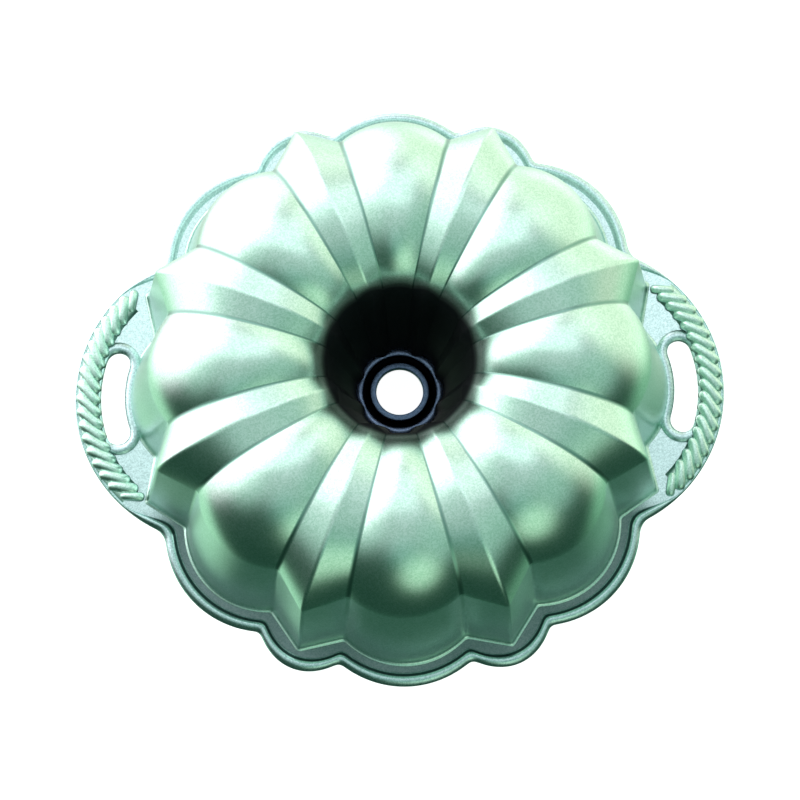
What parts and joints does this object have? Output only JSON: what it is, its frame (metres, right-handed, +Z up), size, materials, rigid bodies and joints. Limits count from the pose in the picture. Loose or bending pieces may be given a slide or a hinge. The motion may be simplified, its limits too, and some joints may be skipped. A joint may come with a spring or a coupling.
{
  "type": "fluted ring cake pan",
  "caption": "Heavy cast ring cake pan, turned over on its rim: round lobes and pointed ridges around a tapered centre tube, with rope-edged handles that have finger slots.",
  "frame": {"origin": "on the centre line of the tube, in the plane of the rim's underside that the turned-over pan stands on", "axes": "+X towards the right handle, along the line through both handles; +Y towards the rear lobe, away from the viewer; +Z up along the centre line, out through the mouth of the tube"},
  "size_m": [0.304, 0.2722, 0.1055],
  "materials": {
    "cast_silver": "satin silver finish with a fine metallic speckle, seen in greenish light",
    "satin_rim": "satin silver, smooth",
    "rope_silver": "satin silver, darker in the grooves between the strands",
    "dark_tube": "dark satin, in the shade of the centre tube"
  },
  "bodies": {
    "root": {"fluted_skirt": "cast_silver", "fluted_crown": "cast_silver", "centre_tube": "dark_tube", "tube_end_plate": "dark_tube", "tube_end_collar": "satin_rim", "rear_rim_ledge": "satin_rim", "rear_rim_bead": "satin_rim", "front_rim_ledge": "satin_rim", "front_rim_bead": "satin_rim", "right_handle_plate": "satin_rim", "right_slot_bead": "satin_rim", "right_rope_grip": "rope_silver", "left_handle_plate": "satin_rim", "left_slot_bead": "satin_rim", "left_rope_grip": "rope_silver"}
  },
  "joints": []
}
